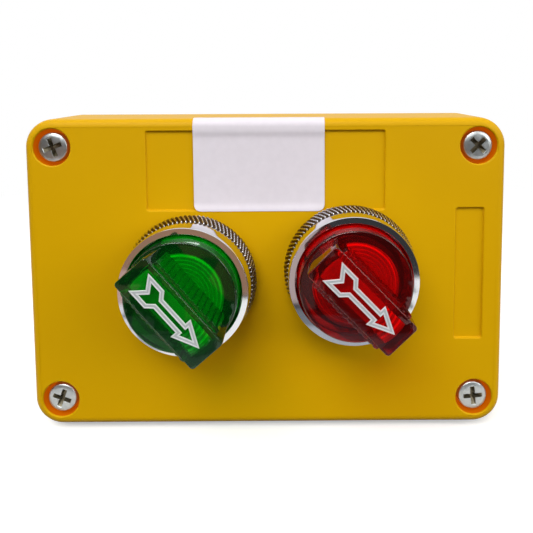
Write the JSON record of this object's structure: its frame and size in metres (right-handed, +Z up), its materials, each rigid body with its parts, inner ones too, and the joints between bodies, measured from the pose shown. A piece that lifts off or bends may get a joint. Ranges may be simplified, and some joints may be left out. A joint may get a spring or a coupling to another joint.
{
  "type": "selector switch box",
  "caption": "Wall-mounting enclosure with illuminated two-position rotary selector switches, arrow handles, screwed lid and rear mounting holes.",
  "frame": {"origin": "middle of the bounding box at its lowest point, under the standing box", "axes": "+Z up, +X to the right as the user sees the face, -Y out of the operating face, +Y into the mounting surface"},
  "size_m": [0.1134, 0.0786, 0.0755],
  "materials": {
    "yellow_abs": "moulded, fine satin texture",
    "black_abs": "moulded, fine satin texture",
    "seal_rubber": "moulded",
    "zinc_steel": "bright zinc plate",
    "label_paper": "blank coated sticker",
    "green_acrylic": "clear green, polished",
    "red_acrylic": "clear red, polished",
    "white_ink": "white filled line",
    "frosted_lens": "clear ribbed lens",
    "chrome": "polished",
    "black_nylon": "moulded",
    "white_nylon": "moulded",
    "spring_steel": "drawn wire",
    "brass": "stamped",
    "lamp_glass": "clear"
  },
  "bodies": {
    "box": {"base_housing": "black_abs", "lid": "yellow_abs", "lid_seal": "seal_rubber", "lid_screws": "zinc_steel", "label": "label_paper", "cable_grommet": "seal_rubber", "green_bezel_ring": "chrome", "green_panel_washer": "seal_rubber", "green_operator_body": "black_nylon", "green_return_spring": "spring_steel", "green_carrier_plate": "black_nylon", "green_lamp": "lamp_glass", "green_lamp_block": "black_nylon", "green_lamp_contacts": "brass", "green_terminal_screws": "zinc_steel", "green_no_block": "black_nylon", "green_no_spring": "spring_steel", "green_no_terminals": "brass", "green_nc_block": "black_nylon", "green_nc_spring": "spring_steel", "green_nc_terminals": "brass", "red_bezel_ring": "chrome", "red_panel_washer": "seal_rubber", "red_operator_body": "black_nylon", "red_return_spring": "spring_steel", "red_carrier_plate": "black_nylon", "red_lamp": "lamp_glass", "red_lamp_block": "black_nylon", "red_lamp_contacts": "brass", "red_terminal_screws": "zinc_steel", "red_no_block": "black_nylon", "red_no_spring": "spring_steel", "red_no_terminals": "brass", "red_nc_block": "black_nylon", "red_nc_spring": "spring_steel", "red_nc_terminals": "brass"},
    "green_selector": {"green_knob": "green_acrylic", "green_arrow": "white_ink", "green_diffuser": "frosted_lens", "green_rotor": "white_nylon"},
    "green_slider": {"green_slider": "white_nylon"},
    "green_no_contact": {"green_no_plunger": "white_nylon", "green_no_bridge": "brass"},
    "green_nc_contact": {"green_nc_plunger": "white_nylon", "green_nc_bridge": "brass"},
    "red_selector": {"red_knob": "red_acrylic", "red_arrow": "white_ink", "red_diffuser": "frosted_lens", "red_rotor": "white_nylon"},
    "red_slider": {"red_slider": "white_nylon"},
    "red_no_contact": {"red_no_plunger": "white_nylon", "red_no_bridge": "brass"},
    "red_nc_contact": {"red_nc_plunger": "white_nylon", "red_nc_bridge": "brass"}
  },
  "joints": [
    {"name": "green_turn", "type": "hinge", "parent": "box", "child": "green_selector", "pos_m": [-0.017, -0.0177, 0.0372], "axis": [0, -1, 0], "range_deg": [0, 90]},
    {"name": "green_slider_slide", "type": "slide", "parent": "box", "child": "green_slider", "axis": [0, 1, 0], "range_m": [0, 0.0025], "deforming": ["green_return_spring"]},
    {"name": "green_no_contact_slide", "type": "slide", "parent": "box", "child": "green_no_contact", "axis": [0, 1, 0], "range_m": [0, 0.0025], "deforming": ["green_no_spring"]},
    {"name": "green_nc_contact_slide", "type": "slide", "parent": "box", "child": "green_nc_contact", "axis": [0, 1, 0], "range_m": [0, 0.0025], "deforming": ["green_nc_spring"]},
    {"name": "red_turn", "type": "hinge", "parent": "box", "child": "red_selector", "pos_m": [0.019, -0.0177, 0.0393], "axis": [0, -1, 0], "range_deg": [0, 90]},
    {"name": "red_slider_slide", "type": "slide", "parent": "box", "child": "red_slider", "axis": [0, 1, 0], "range_m": [0, 0.0025], "deforming": ["red_return_spring"]},
    {"name": "red_no_contact_slide", "type": "slide", "parent": "box", "child": "red_no_contact", "axis": [0, 1, 0], "range_m": [0, 0.0025], "deforming": ["red_no_spring"]},
    {"name": "red_nc_contact_slide", "type": "slide", "parent": "box", "child": "red_nc_contact", "axis": [0, 1, 0], "range_m": [0, 0.0025], "deforming": ["red_nc_spring"]}
  ],
  "couplings": [
    {"joint": "green_slider_slide", "follows": "green_turn", "m_per_rad": 0.0015915},
    {"joint": "green_no_contact_slide", "follows": "green_turn", "m_per_rad": 0.0015915},
    {"joint": "green_nc_contact_slide", "follows": "green_turn", "m_per_rad": 0.0015915},
    {"joint": "red_slider_slide", "follows": "red_turn", "m_per_rad": 0.0015915},
    {"joint": "red_no_contact_slide", "follows": "red_turn", "m_per_rad": 0.0015915},
    {"joint": "red_nc_contact_slide", "follows": "red_turn", "m_per_rad": 0.0015915}
  ]
}
